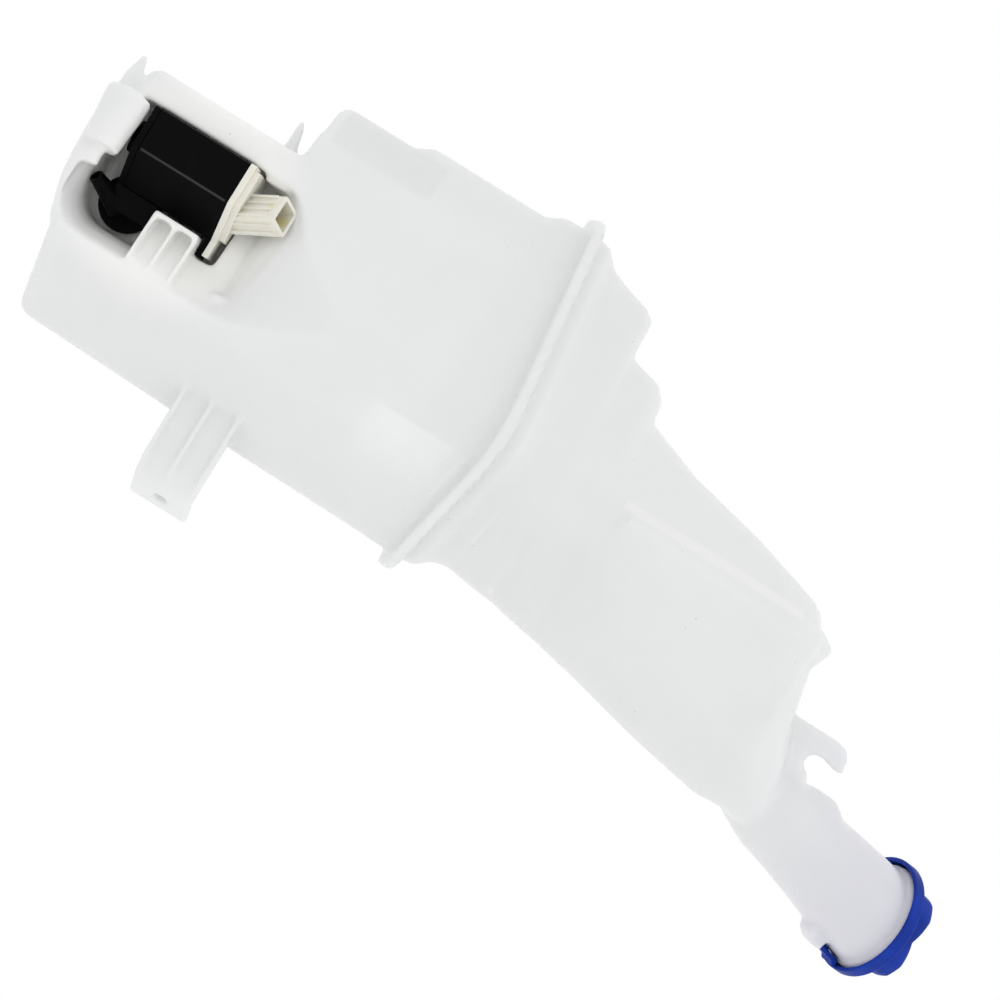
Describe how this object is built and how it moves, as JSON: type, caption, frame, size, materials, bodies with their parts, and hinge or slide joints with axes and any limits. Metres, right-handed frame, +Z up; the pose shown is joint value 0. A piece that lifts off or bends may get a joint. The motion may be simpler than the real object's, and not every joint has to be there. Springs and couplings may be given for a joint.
{
  "type": "windscreen washer fluid reservoir",
  "caption": "Translucent welded plastic fluid tank with a leaning filler neck, hinged cap, bolt ear, hook and a plug-in electric pump in a corner notch.",
  "frame": {"origin": "on the back face of the lower bolt ear's end plate, 9 mm below the screw hole", "axes": "+Z up as installed, the pump notch and the prow towards -Y, the ear towards +X"},
  "size_m": [0.2166, 0.119, 0.4712],
  "materials": {
    "tank_plastic": "milky translucent natural plastic, satin",
    "blue_plastic": "satin blue",
    "black_plastic": "satin black",
    "cream_plastic": "satin cream",
    "black_rubber": "matte black",
    "plated_steel": "zinc plated",
    "copper": "bare copper alloy",
    "ferrite": "dark grey ferrite"
  },
  "bodies": {
    "tank": {"lower_tank_shell": "tank_plastic", "upper_tank_shell": "tank_plastic", "cap_strap": "blue_plastic", "pump_case": "black_plastic", "pump_head": "black_plastic", "inlet_grommet": "black_rubber", "connector_cap": "cream_plastic", "terminal_left": "plated_steel", "terminal_right": "plated_steel", "motor_can": "plated_steel", "magnet_front": "ferrite", "magnet_rear": "ferrite", "lower_bush": "copper", "upper_bush": "copper", "brush_holder": "cream_plastic", "brush_left": "copper", "brush_right": "copper", "shaft_seal": "black_rubber"},
    "cap": {"filler_cap": "blue_plastic"},
    "rotor": {"armature_core": "plated_steel", "commutator": "copper", "rotor_shaft": "plated_steel", "impeller": "cream_plastic"}
  },
  "joints": [
    {"name": "cap_hinge", "type": "hinge", "parent": "tank", "child": "cap", "pos_m": [0.02293, 0.01777, 0.35386], "axis": [-0.0383, 0.9135, -0.4049], "range_deg": [0, 105]},
    {"name": "rotor_spin", "type": "hinge", "parent": "tank", "child": "rotor", "pos_m": [-0.1194, -0.03463, -0.04], "axis": [0, 0, 1], "continuous": true}
  ]
}
